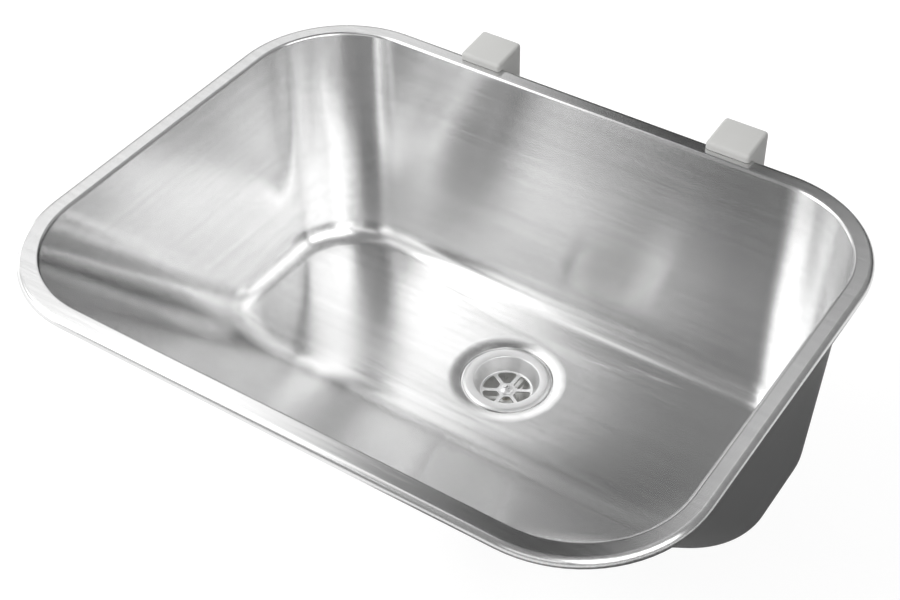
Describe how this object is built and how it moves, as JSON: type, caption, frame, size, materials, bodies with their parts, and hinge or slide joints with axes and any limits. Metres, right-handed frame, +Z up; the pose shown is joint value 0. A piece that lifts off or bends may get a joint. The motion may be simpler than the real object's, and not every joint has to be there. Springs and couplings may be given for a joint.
{
  "type": "kitchen sink",
  "caption": "Deep steel sink bowl with a sloping front, turned-down rim, recessed star waste with its outlet pipe, and wall blocks that slide along the rear rim.",
  "frame": {"origin": "centre of the rim, on the flat top of the flange", "axes": "+X along the long side to the right as a user in front sees it, +Y towards the wall side with the two rim clips, +Z up out of the bowl"},
  "size_m": [0.52, 0.425, 0.3235],
  "materials": {
    "bowl_steel": "satin stainless steel, fine brushing along the long side",
    "polished_steel": "polished stainless steel",
    "clip_plastic": "moulded, light grey",
    "white_plastic": "moulded polypropylene",
    "black_rubber": "matte",
    "brass": "machined",
    "pad_rubber": "matte bitumen sheet"
  },
  "bodies": {
    "sink": {"bowl": "bowl_steel", "strainer_flange": "polished_steel", "strainer_screw": "polished_steel", "flange_gasket": "black_rubber", "body_gasket": "black_rubber", "waste_body": "white_plastic", "thread_insert": "brass", "coupling_nut": "white_plastic", "taper_washer": "black_rubber", "tail_pipe": "white_plastic", "sound_pad_front": "pad_rubber", "sound_pad_rear": "pad_rubber"},
    "left_clip": {"rim_clip_left": "clip_plastic"},
    "right_clip": {"rim_clip_right": "clip_plastic"}
  },
  "joints": [
    {"name": "left_clip_slide", "type": "slide", "parent": "sink", "child": "left_clip", "axis": [1, 0, 0], "range_m": [-0.055, 0.075]},
    {"name": "right_clip_slide", "type": "slide", "parent": "sink", "child": "right_clip", "axis": [1, 0, 0], "range_m": [-0.097, 0.033]}
  ]
}
